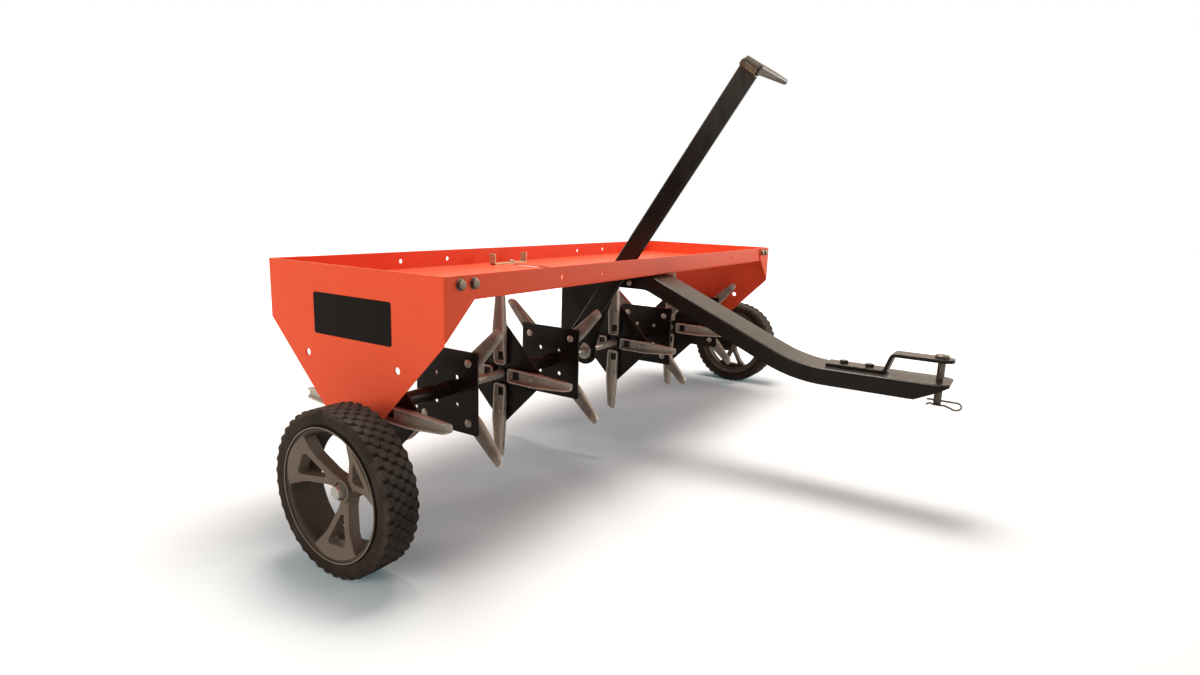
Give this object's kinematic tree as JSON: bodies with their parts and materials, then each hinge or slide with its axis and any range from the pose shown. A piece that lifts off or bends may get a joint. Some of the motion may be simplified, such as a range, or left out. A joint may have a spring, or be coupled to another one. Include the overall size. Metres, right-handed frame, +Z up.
{
  "type": "tow-behind lawn aerator",
  "caption": "Tow-behind plug aerator: ballast tray over freely turning reels of coring spoons, with lift lever, transport wheels and a gooseneck drawbar.",
  "frame": {"origin": "on the ground under the middle of the machine's box, wheels down as in transport", "axes": "+X across the machine, the drawbar points to -Y, +Z up"},
  "size_m": [1.43, 0.9307, 0.7518],
  "materials": {
    "orange_paint": "gloss powder coat",
    "black_enamel": "gloss powder coat",
    "zinc_plate": "zinc plated",
    "bronzed_steel": "stamped, satin",
    "rim_plastic": "moulded, satin",
    "tyre_rubber": "matt rubber",
    "grip_rubber": "satin rubber"
  },
  "bodies": {
    "frame": {"tray": "orange_paint", "end_plate_left": "orange_paint", "end_plate_right": "orange_paint", "centre_hanger": "black_enamel", "shaft_bush_left": "zinc_plate", "shaft_bush_centre": "zinc_plate", "shaft_bush_right": "zinc_plate", "drawbar": "black_enamel", "hitch_bracket": "black_enamel", "lever_stop": "zinc_plate"},
    "lift": {"cross_shaft": "zinc_plate", "lift_lever": "black_enamel", "lever_grip": "grip_rubber", "wheel_arm_left": "black_enamel", "wheel_arm_right": "black_enamel", "wheel_bolt_left": "zinc_plate", "wheel_bolt_right": "zinc_plate"},
    "reel_1": {"reel_1_hub": "black_enamel", "star_1_spoon_1": "bronzed_steel", "star_1_spoon_2": "bronzed_steel", "star_1_spoon_3": "bronzed_steel", "star_1_spoon_4": "bronzed_steel", "star_2_spoon_1": "bronzed_steel", "star_2_spoon_2": "bronzed_steel", "star_2_spoon_3": "bronzed_steel", "star_2_spoon_4": "bronzed_steel"},
    "reel_2": {"reel_2_hub": "black_enamel", "star_3_spoon_1": "bronzed_steel", "star_3_spoon_2": "bronzed_steel", "star_3_spoon_3": "bronzed_steel", "star_3_spoon_4": "bronzed_steel", "star_4_spoon_1": "bronzed_steel", "star_4_spoon_2": "bronzed_steel", "star_4_spoon_3": "bronzed_steel", "star_4_spoon_4": "bronzed_steel"},
    "reel_3": {"reel_3_hub": "black_enamel", "star_5_spoon_1": "bronzed_steel", "star_5_spoon_2": "bronzed_steel", "star_5_spoon_3": "bronzed_steel", "star_5_spoon_4": "bronzed_steel", "star_6_spoon_1": "bronzed_steel", "star_6_spoon_2": "bronzed_steel", "star_6_spoon_3": "bronzed_steel", "star_6_spoon_4": "bronzed_steel"},
    "reel_4": {"reel_4_hub": "black_enamel", "star_7_spoon_1": "bronzed_steel", "star_7_spoon_2": "bronzed_steel", "star_7_spoon_3": "bronzed_steel", "star_7_spoon_4": "bronzed_steel", "star_8_spoon_1": "bronzed_steel", "star_8_spoon_2": "bronzed_steel", "star_8_spoon_3": "bronzed_steel", "star_8_spoon_4": "bronzed_steel"},
    "wheel_left": {"wheel_left_rim": "rim_plastic", "wheel_left_tyre": "tyre_rubber"},
    "wheel_right": {"wheel_right_rim": "rim_plastic", "wheel_right_tyre": "tyre_rubber"},
    "pin": {"hitch_pin": "zinc_plate"},
    "clip": {"hitch_pin_clip": "zinc_plate"}
  },
  "joints": [
    {"name": "lift_swing", "type": "hinge", "parent": "frame", "child": "lift", "pos_m": [0, 0.2766, 0.1834], "axis": [-1, 0, 0], "range_deg": [0, 64]},
    {"name": "reel_1_spin", "type": "hinge", "parent": "lift", "child": "reel_1", "pos_m": [0, 0.2766, 0.1834], "axis": [1, 0, 0], "continuous": true},
    {"name": "reel_2_spin", "type": "hinge", "parent": "lift", "child": "reel_2", "pos_m": [0, 0.2766, 0.1834], "axis": [1, 0, 0], "continuous": true},
    {"name": "reel_3_spin", "type": "hinge", "parent": "lift", "child": "reel_3", "pos_m": [0, 0.2766, 0.1834], "axis": [1, 0, 0], "continuous": true},
    {"name": "reel_4_spin", "type": "hinge", "parent": "lift", "child": "reel_4", "pos_m": [0, 0.2766, 0.1834], "axis": [1, 0, 0], "continuous": true},
    {"name": "wheel_left_spin", "type": "hinge", "parent": "lift", "child": "wheel_left", "pos_m": [-0.6865, 0.1969, 0.1141], "axis": [1, 0, 0], "continuous": true},
    {"name": "wheel_right_spin", "type": "hinge", "parent": "lift", "child": "wheel_right", "pos_m": [0.6865, 0.1969, 0.1141], "axis": [1, 0, 0], "continuous": true},
    {"name": "pin_lift", "type": "slide", "parent": "frame", "child": "pin", "axis": [0, 0, 1], "range_m": [0, 0.025]},
    {"name": "clip_pull", "type": "slide", "parent": "pin", "child": "clip", "axis": [0, -1, 0], "range_m": [0, 0.025]}
  ]
}
